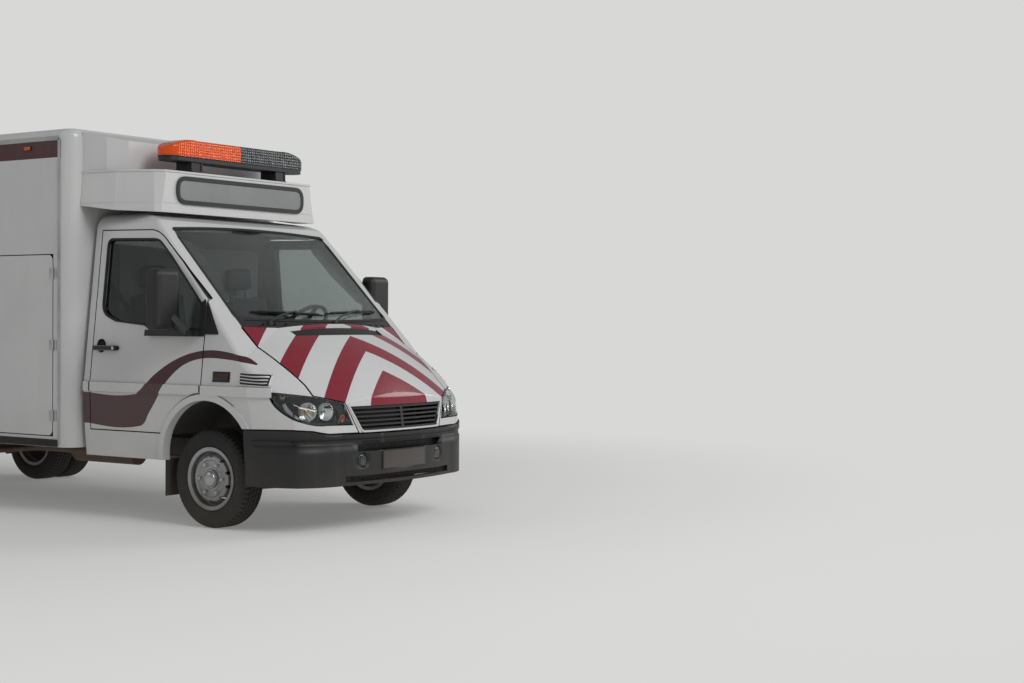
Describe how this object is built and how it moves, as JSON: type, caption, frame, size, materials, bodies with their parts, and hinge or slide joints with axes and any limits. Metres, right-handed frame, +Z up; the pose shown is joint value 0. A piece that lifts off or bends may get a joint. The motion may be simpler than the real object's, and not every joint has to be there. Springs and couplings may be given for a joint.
{
  "type": "box-bodied ambulance",
  "caption": "Van-cab ambulance with a square box body, over-cab fairing and light bar; cab, rear and locker doors, hood, steering and wheels all move.",
  "frame": {"origin": "on the ground under the middle of the vehicle", "axes": "+X forwards, +Y to the left, +Z up"},
  "size_m": [5.944, 2.422, 2.695],
  "materials": {
    "chassis_black": "satin",
    "axle_iron": "matte",
    "spring_steel": "satin",
    "engine_iron": "matte",
    "exhaust_steel": "satin",
    "tank_plastic": "matte",
    "wheel_silver": "satin",
    "tyre_rubber": "matte",
    "white_paint": "gloss",
    "floor_mat": "matte",
    "black_trim": "satin",
    "tinted_glass": "gloss",
    "lamp_clear": "gloss",
    "dash_plastic": "matte",
    "seat_fabric": "matte",
    "box_paint": "gloss",
    "frosted_glass": "matte",
    "lens_dark": "gloss",
    "lens_amber": "gloss",
    "lens_red": "gloss"
  },
  "bodies": {
    "vehicle": {"chassis_frame": "chassis_black", "front_axle": "axle_iron", "front_springs": "chassis_black", "rear_axle": "axle_iron", "leaf_springs": "spring_steel", "engine_block": "engine_iron", "radiator": "engine_iron", "driveline": "axle_iron", "exhaust": "exhaust_steel", "fuel_tank": "tank_plastic", "cab_shell": "white_paint", "cab_floor": "floor_mat", "cowl": "black_trim", "front_bumper": "black_trim", "windscreen": "tinted_glass", "headlamp_left": "lamp_clear", "headlamp_right": "lamp_clear", "dashboard": "dash_plastic", "driver_seat": "seat_fabric", "passenger_seat": "seat_fabric", "box_front_wall": "box_paint", "box_roof": "box_paint", "box_side_left": "box_paint", "box_side_right": "box_paint", "box_rear_frame": "box_paint", "box_floor": "floor_mat", "fairing": "box_paint", "sign_panel": "black_trim", "light_bar": "black_trim", "beacon_lens_left": "lens_dark", "beacon_lens_right": "lens_amber", "rear_step": "chassis_black", "tail_lamps": "lens_red"},
    "knuckle_left": {"knuckle_left": "axle_iron"},
    "knuckle_right": {"knuckle_right": "axle_iron"},
    "wheel_front_left": {"rim_front_left": "wheel_silver", "tyre_front_left": "tyre_rubber"},
    "wheel_front_right": {"rim_front_right": "wheel_silver", "tyre_front_right": "tyre_rubber"},
    "wheels_rear_left": {"rim_rear_left": "wheel_silver", "tyre_rear_left": "tyre_rubber"},
    "wheels_rear_right": {"rim_rear_right": "wheel_silver", "tyre_rear_right": "tyre_rubber"},
    "steering_wheel": {"steering_wheel": "dash_plastic"},
    "cab_door_left": {"door_left": "white_paint", "door_glass_left": "tinted_glass", "mirror_left": "black_trim"},
    "cab_door_right": {"door_right": "white_paint", "door_glass_right": "tinted_glass", "mirror_right": "black_trim"},
    "hood": {"hood": "white_paint", "hood_inlet": "black_trim", "grille": "black_trim"},
    "rear_door_left": {"rear_door_left": "box_paint", "rear_glass_left": "frosted_glass"},
    "rear_door_right": {"rear_door_right": "box_paint", "rear_glass_right": "frosted_glass"},
    "locker_door": {"locker_door": "box_paint"}
  },
  "joints": [
    {"name": "steer_left", "type": "hinge", "parent": "vehicle", "child": "knuckle_left", "pos_m": [2.055, 0.69, 0.327], "axis": [0, 0, 1], "range_deg": [-35, 35]},
    {"name": "steer_right", "type": "hinge", "parent": "vehicle", "child": "knuckle_right", "pos_m": [2.055, -0.69, 0.327], "axis": [0, 0, 1], "range_deg": [-35, 35]},
    {"name": "steering_wheel_turn", "type": "hinge", "parent": "vehicle", "child": "steering_wheel", "pos_m": [1.683, 0.42, 1.318], "axis": [-0.7507, 0, 0.6606], "range_deg": [-490, 490]},
    {"name": "roll_front_left", "type": "hinge", "parent": "knuckle_left", "child": "wheel_front_left", "pos_m": [2.055, 0.815, 0.327], "axis": [0, 1, 0], "continuous": true},
    {"name": "roll_front_right", "type": "hinge", "parent": "knuckle_right", "child": "wheel_front_right", "pos_m": [2.055, -0.815, 0.327], "axis": [0, 1, 0], "continuous": true},
    {"name": "roll_rear_left", "type": "hinge", "parent": "vehicle", "child": "wheels_rear_left", "pos_m": [-1.495, 0.765, 0.327], "axis": [0, 1, 0], "continuous": true},
    {"name": "roll_rear_right", "type": "hinge", "parent": "vehicle", "child": "wheels_rear_right", "pos_m": [-1.495, -0.765, 0.327], "axis": [0, 1, 0], "continuous": true},
    {"name": "cab_door_left_swing", "type": "hinge", "parent": "vehicle", "child": "cab_door_left", "pos_m": [2.031, 0.975, 1.3], "axis": [0, 0, -1], "range_deg": [0, 70]},
    {"name": "cab_door_right_swing", "type": "hinge", "parent": "vehicle", "child": "cab_door_right", "pos_m": [2.031, -0.975, 1.3], "axis": [0, 0, 1], "range_deg": [0, 70]},
    {"name": "hood_lift", "type": "hinge", "parent": "vehicle", "child": "hood", "pos_m": [2.255, 0, 1.34], "axis": [0, -1, 0], "range_deg": [0, 55]},
    {"name": "rear_door_left_swing", "type": "hinge", "parent": "vehicle", "child": "rear_door_left", "pos_m": [-2.875, 0.79, 1.6], "axis": [0, 0, -1], "range_deg": [0, 170]},
    {"name": "rear_door_right_swing", "type": "hinge", "parent": "vehicle", "child": "rear_door_right", "pos_m": [-2.875, -0.79, 1.6], "axis": [0, 0, 1], "range_deg": [0, 170]},
    {"name": "locker_door_swing", "type": "hinge", "parent": "vehicle", "child": "locker_door", "pos_m": [0.697, -1.068, 1.2], "axis": [0, 0, 1], "range_deg": [0, 110]}
  ],
  "couplings": [
    {"joint": "steer_right", "follows": "steer_left", "ratio": 1},
    {"joint": "steering_wheel_turn", "follows": "steer_left", "ratio": 14}
  ]
}
